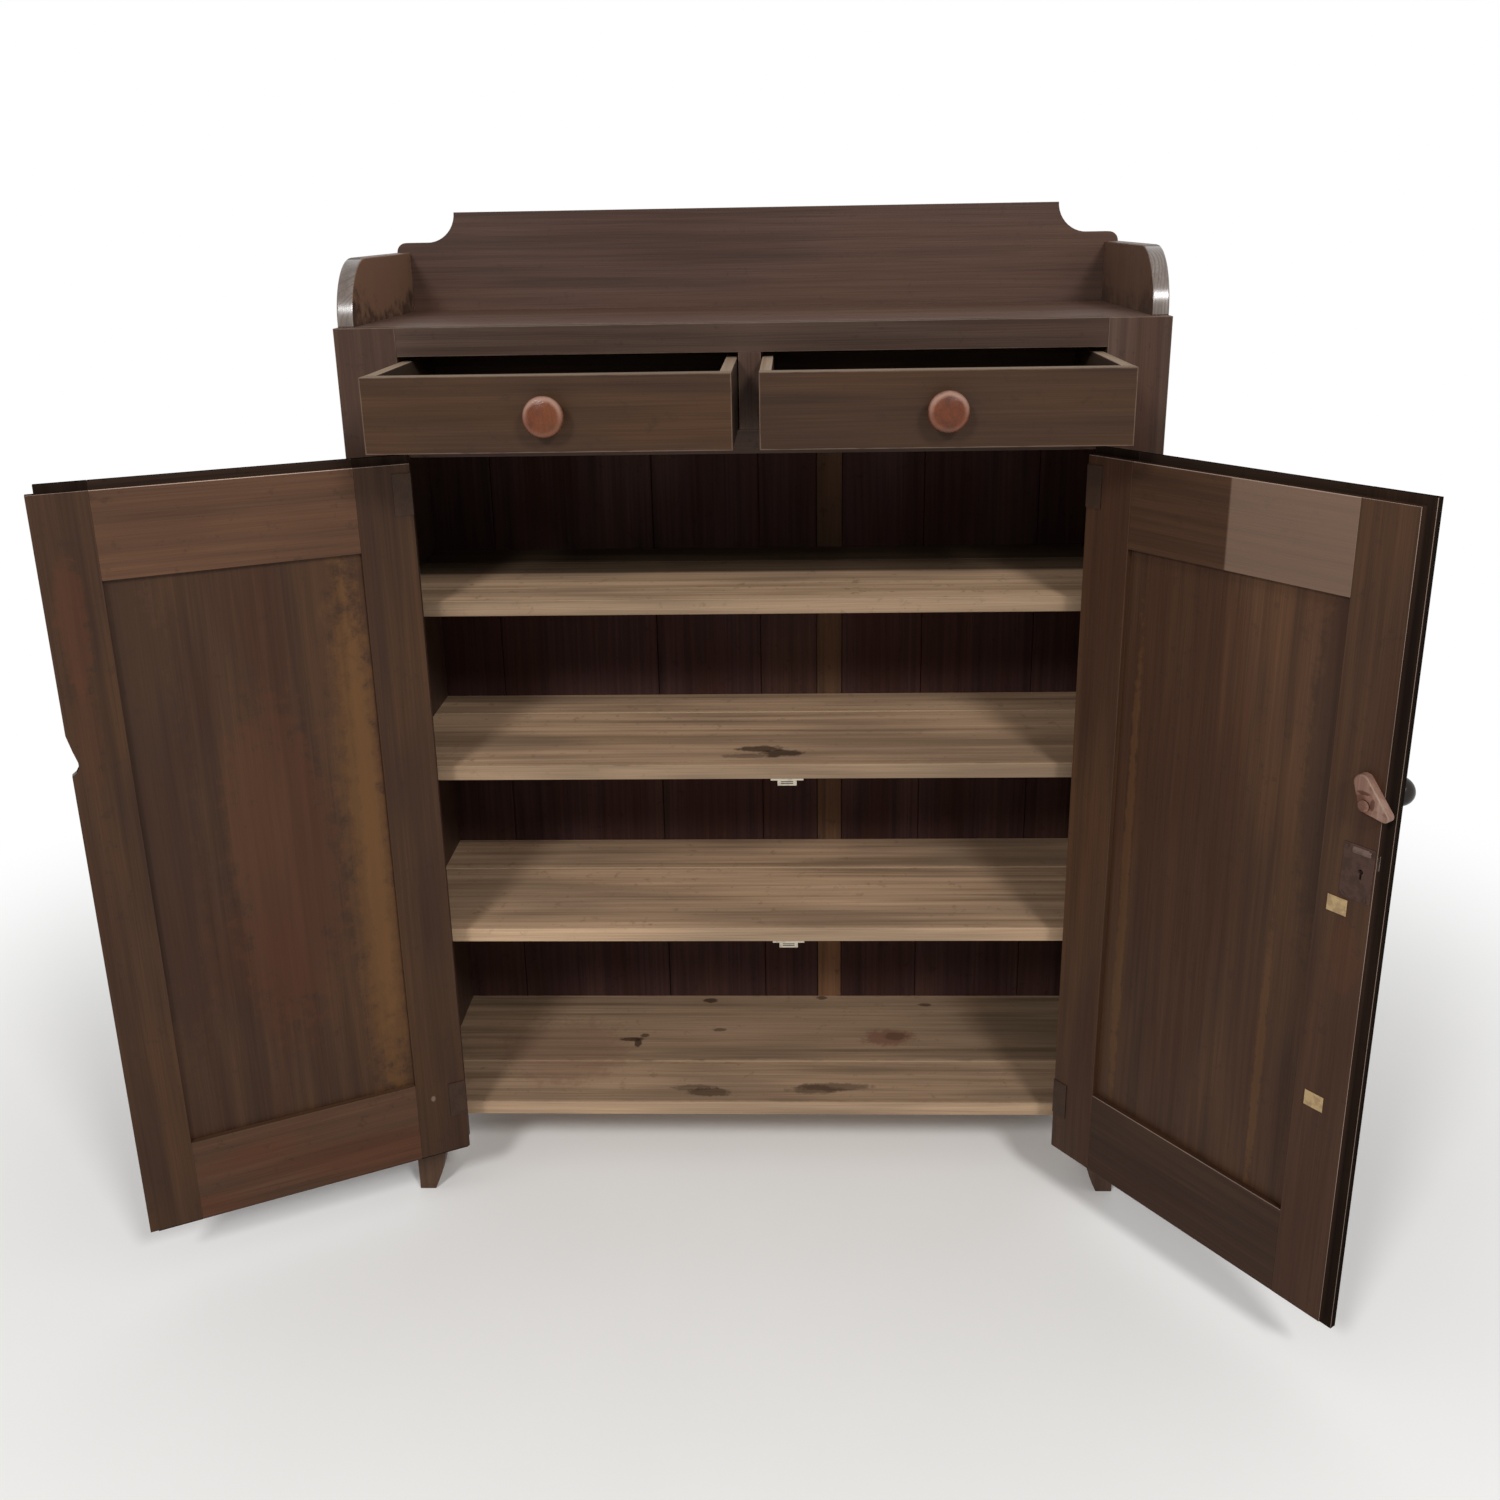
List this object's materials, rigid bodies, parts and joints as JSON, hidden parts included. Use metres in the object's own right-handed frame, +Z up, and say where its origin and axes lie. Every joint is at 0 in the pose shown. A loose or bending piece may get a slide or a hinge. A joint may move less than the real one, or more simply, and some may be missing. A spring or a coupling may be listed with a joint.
{
  "type": "sideboard",
  "caption": "Tall shallow sideboard with a gallery top, drawers over framed doors, plank shelves, a turn latch and a mortised lock; doors stand open and drawers are pulled out.",
  "frame": {"origin": "on the floor, in the middle of the rectangle that the sideboard covers with its doors open and its drawers pulled out as stored", "axes": "+X to the right as seen from the front, +Y towards the back of the case, +Z up; the doors and drawers face -Y"},
  "size_m": [1.6614, 0.7768, 1.4905],
  "materials": {
    "stained_case": "dark brown stained and varnished pine, worn along its edges",
    "stained_backsplash": "dark stained pine with a purplish cast, semi-gloss",
    "dark_back": "nearly black aged boards, matt",
    "filler_wood": "olive brown aged strip, matt",
    "aged_shelf": "bare aged pine, grey-brown, with stains and knots",
    "bare_softwood": "bare softwood, sawn",
    "drawer_wood": "bare aged pine, darkened inside",
    "off_white_plastic": "off-white moulded plastic",
    "painted_iron": "iron, stained over with the door",
    "stained_drawer_front": "stained and varnished pine, a little lighter than the case",
    "knob_wood": "turned wood, reddish brown, semi-gloss",
    "stained_door": "stained and varnished pine with redder patches",
    "stained_panel": "stained and varnished pine panel with reddish grain",
    "latch_wood": "stained wood, worn paler on the pointer",
    "painted_lock": "iron lock case painted over with the door stain",
    "bolt_steel": "dull steel",
    "plate_brass": "thin pale brassed steel, worn"
  },
  "bodies": {
    "case": {"side_left": "stained_case", "side_right": "stained_case", "stile_left": "stained_case", "stile_right": "stained_case", "top_rail": "stained_case", "drawer_divider": "stained_case", "middle_rail": "stained_case", "top_board": "stained_case", "backsplash": "stained_backsplash", "back_boards": "dark_back", "back_filler_strip": "filler_wood", "bottom_shelf_front": "aged_shelf", "bottom_shelf_rear": "aged_shelf", "lower_shelf_front": "aged_shelf", "lower_shelf_rear": "aged_shelf", "middle_shelf_front": "aged_shelf", "middle_shelf_rear": "aged_shelf", "upper_shelf_front": "aged_shelf", "upper_shelf_rear": "aged_shelf", "runner_left": "bare_softwood", "runner_centre": "bare_softwood", "runner_right": "bare_softwood", "drawer_kickers": "bare_softwood", "magnetic_catches": "off_white_plastic", "left_frame_leaves": "painted_iron", "right_frame_leaves": "painted_iron", "frame_hinge_screws": "painted_iron", "hinge_pins": "painted_iron"},
    "left_door": {"left_door_hinge_stile": "stained_door", "left_door_meeting_stile": "stained_door", "left_door_top_rail": "stained_door", "left_door_bottom_rail": "stained_door", "left_door_panel": "stained_panel", "left_door_leaves": "painted_iron", "left_door_screws": "painted_iron"},
    "right_door": {"right_door_hinge_stile": "stained_door", "right_door_meeting_stile": "stained_door", "right_door_top_rail": "stained_door", "right_door_bottom_rail": "stained_door", "right_door_panel": "stained_panel", "right_door_leaves": "painted_iron", "right_door_screws": "painted_iron", "lock_case": "painted_lock", "strike_plates": "plate_brass"},
    "left_drawer": {"left_drawer_front": "stained_drawer_front", "left_drawer_outer_side": "drawer_wood", "left_drawer_inner_side": "drawer_wood", "left_drawer_back": "drawer_wood", "left_drawer_bottom": "drawer_wood", "left_drawer_knob": "knob_wood"},
    "right_drawer": {"right_drawer_front": "stained_drawer_front", "right_drawer_outer_side": "drawer_wood", "right_drawer_inner_side": "drawer_wood", "right_drawer_back": "drawer_wood", "right_drawer_bottom": "drawer_wood", "right_drawer_knob": "knob_wood"},
    "latch": {"latch_knob": "latch_wood", "latch_pointer": "latch_wood"},
    "lock_bolt": {"lock_bolt": "bolt_steel"}
  },
  "joints": [
    {"name": "left_door_swing", "type": "hinge", "parent": "case", "child": "left_door", "pos_m": [-0.41885, 0.01674, 0.636], "axis": [0, 0, 1], "range_deg": [-21, 153.8]},
    {"name": "right_door_swing", "type": "hinge", "parent": "case", "child": "right_door", "pos_m": [0.51565, 0.01674, 0.636], "axis": [0, 0, 1], "range_deg": [-127.3, 47]},
    {"name": "left_drawer_slide", "type": "slide", "parent": "case", "child": "left_drawer", "axis": [0, -1, 0], "range_m": [-0.185, 0.055]},
    {"name": "right_drawer_slide", "type": "slide", "parent": "case", "child": "right_drawer", "axis": [0, -1, 0], "range_m": [-0.185, 0.055]},
    {"name": "latch_turn", "type": "hinge", "parent": "right_door", "child": "latch", "pos_m": [0.7762, -0.34954, 0.8225], "axis": [-0.7955, -0.606, 0], "range_deg": [-15, 95]},
    {"name": "lock_bolt_slide", "type": "slide", "parent": "right_door", "child": "lock_bolt", "axis": [0.606, -0.7955, 0], "range_m": [0, 0.007]}
  ]
}
